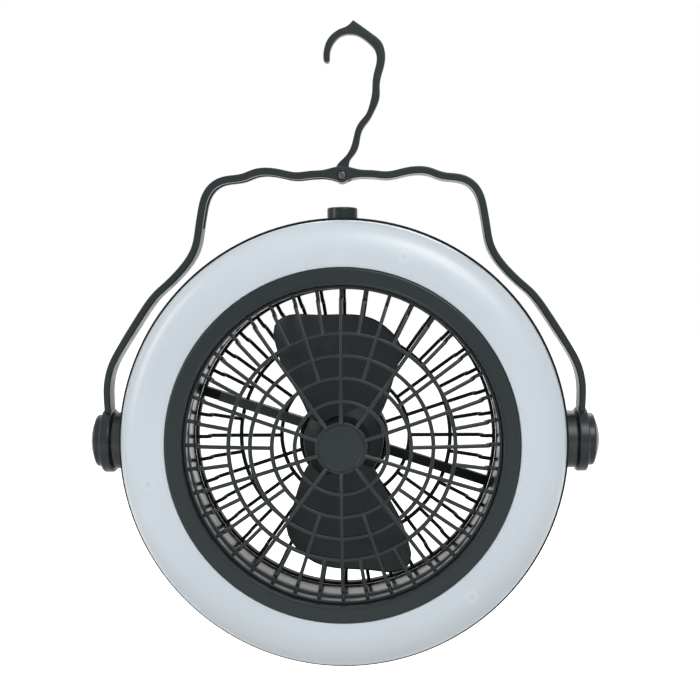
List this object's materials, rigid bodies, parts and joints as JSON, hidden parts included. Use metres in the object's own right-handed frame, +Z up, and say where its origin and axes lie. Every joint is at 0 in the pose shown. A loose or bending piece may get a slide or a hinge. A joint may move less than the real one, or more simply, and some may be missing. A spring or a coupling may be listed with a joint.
{
  "type": "hanging camping fan with ring light",
  "caption": "Round hanging fan with a milky ring light, domed ribbed guards, a two-blade impeller, a swinging U handle and a folding hook.",
  "frame": {"origin": "saddle of the folding hook, where the fan hangs, above the middle of the fan and in the plane of the handle's pivots", "axes": "+X to the fan's right as seen from the front, +Y from the front guard to the back, +Z up through the hook"},
  "size_m": [0.255, 0.062, 0.3194],
  "materials": {
    "dark_plastic": "satin moulded plastic, dark slate grey",
    "blade_plastic": "smooth moulded plastic, near black",
    "milky_plastic": "milky translucent plastic, softly glossy",
    "inner_plastic": "plain moulded plastic",
    "zinc_steel": "zinc plated",
    "bronze": "sintered bronze",
    "magnet": "dark sintered metal",
    "cell_wrap": "blue shrink wrap",
    "board_white": "white circuit board",
    "board_green": "green circuit board",
    "diode_yellow": "diode with yellow lens"
  },
  "bodies": {
    "fan_body": {"front_shell": "dark_plastic", "rear_shell": "dark_plastic", "front_bezel": "dark_plastic", "front_grille": "dark_plastic", "rear_grille": "dark_plastic", "wire_channel_cover": "dark_plastic", "light_diffuser": "milky_plastic", "diffuser_screws": "zinc_steel", "led_board": "board_white", "led_chips": "diode_yellow", "motor_can": "zinc_steel", "motor_end_cap": "inner_plastic", "motor_magnets": "magnet", "motor_bush_front": "bronze", "motor_bush_rear": "bronze", "motor_screws": "zinc_steel", "battery_cells": "cell_wrap", "battery_cradles": "inner_plastic", "rotary_switch": "zinc_steel", "control_board": "board_green", "usb_socket": "zinc_steel", "housing_screws": "zinc_steel", "pivot_boss_right": "dark_plastic", "pivot_boss_left": "dark_plastic", "pivot_washers": "zinc_steel", "pivot_screws": "zinc_steel"},
    "impeller": {"fan_blade": "blade_plastic", "blade_nut": "zinc_steel", "motor_shaft": "zinc_steel", "motor_armature": "magnet"},
    "handle": {"handle": "dark_plastic", "pivot_cap_right": "dark_plastic", "pivot_cap_left": "dark_plastic", "hook_screw": "zinc_steel"},
    "hook": {"hook": "dark_plastic"},
    "knob": {"control_knob": "dark_plastic", "knob_shaft": "zinc_steel"}
  },
  "joints": [
    {"name": "handle_swing", "type": "hinge", "parent": "fan_body", "child": "handle", "pos_m": [0, 0, -0.2013], "axis": [1, 0, 0], "range_deg": [-180, 180]},
    {"name": "hook_fold", "type": "hinge", "parent": "handle", "child": "hook", "pos_m": [0, 0, -0.0692], "axis": [0, -1, 0], "range_deg": [0, 112]},
    {"name": "fan_spin", "type": "hinge", "parent": "fan_body", "child": "impeller", "pos_m": [0, 0, -0.2013], "axis": [0, 1, 0], "continuous": true},
    {"name": "knob_turn", "type": "hinge", "parent": "fan_body", "child": "knob", "pos_m": [0, 0, -0.0909], "axis": [0, 0, 1], "range_deg": [0, 270]}
  ]
}
